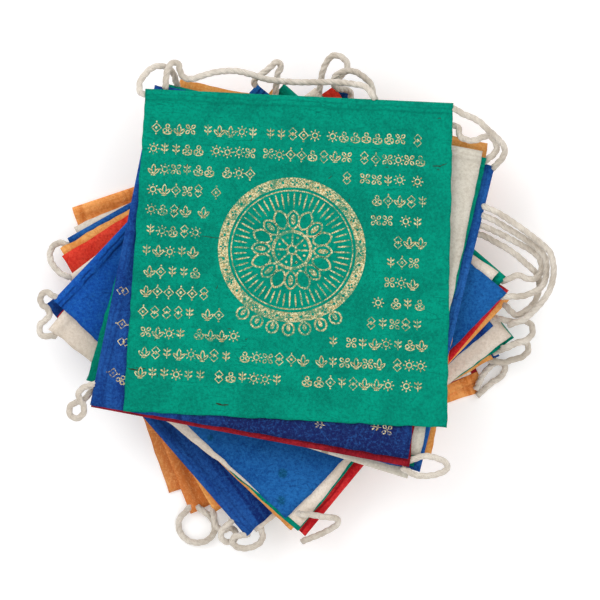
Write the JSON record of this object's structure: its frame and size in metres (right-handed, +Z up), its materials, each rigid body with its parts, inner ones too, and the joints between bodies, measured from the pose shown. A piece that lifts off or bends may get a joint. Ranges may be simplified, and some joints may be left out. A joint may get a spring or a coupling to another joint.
{
  "type": "tibetan prayer flag string",
  "caption": "String of square prayer flags threaded by their hems on one twisted cord, wound up into a fanned pile.",
  "frame": {"origin": "middle of the pile's base, on the surface that it lies on", "axes": "+Z up from the surface; +X to the right and +Y to the top of the uppermost flag's printed face"},
  "size_m": [0.2609, 0.2501, 0.0657],
  "materials": {
    "green": "rough mottled fibre paper",
    "blue": "rough mottled fibre paper",
    "red": "rough mottled fibre paper",
    "orange": "rough mottled fibre paper",
    "white": "rough unbleached fibre paper",
    "cord": "twisted cotton"
  },
  "bodies": {
    "root": {"cord_knot_bottom": "cord", "cord_loop_corner": "cord", "cord_loop_left": "cord", "cord_loop_left_knot": "cord", "cord_loop_red_hem": "cord", "cord_loop_right_base": "cord", "cord_loop_right_inner": "cord", "cord_loop_right_low": "cord", "cord_loop_right_mid": "cord", "cord_loop_right_top": "cord", "cord_loop_top_high": "cord", "cord_loop_top_left": "cord", "cord_loop_top_middle": "cord", "cord_loop_top_twist": "cord", "cord_ring_bottom": "cord", "cord_ring_bottom_left": "cord", "cord_ring_left_low": "cord", "cord_strand_high": "cord", "cord_strand_low": "cord", "cord_strand_second": "cord", "cord_strand_third": "cord", "cord_tail": "cord", "flag_01_orange": "orange", "flag_02_orange": "orange", "flag_03_red": "red", "flag_04_white": "white", "flag_05_blue": "blue", "flag_06_orange": "orange", "flag_07_red": "red", "flag_08_green": "green", "flag_09_white": "white", "flag_10_blue": "blue", "flag_11_orange": "orange", "flag_12_red": "red", "flag_13_green": "green", "flag_14_white": "white", "flag_15_blue": "blue", "flag_16_red": "red", "flag_17_green": "green", "flag_18_orange": "orange", "flag_19_white": "white", "flag_20_blue": "blue", "flag_21_green": "green", "flag_22_white": "white", "flag_23_red": "red", "flag_24_blue": "blue", "flag_25_green": "green"}
  },
  "joints": []
}
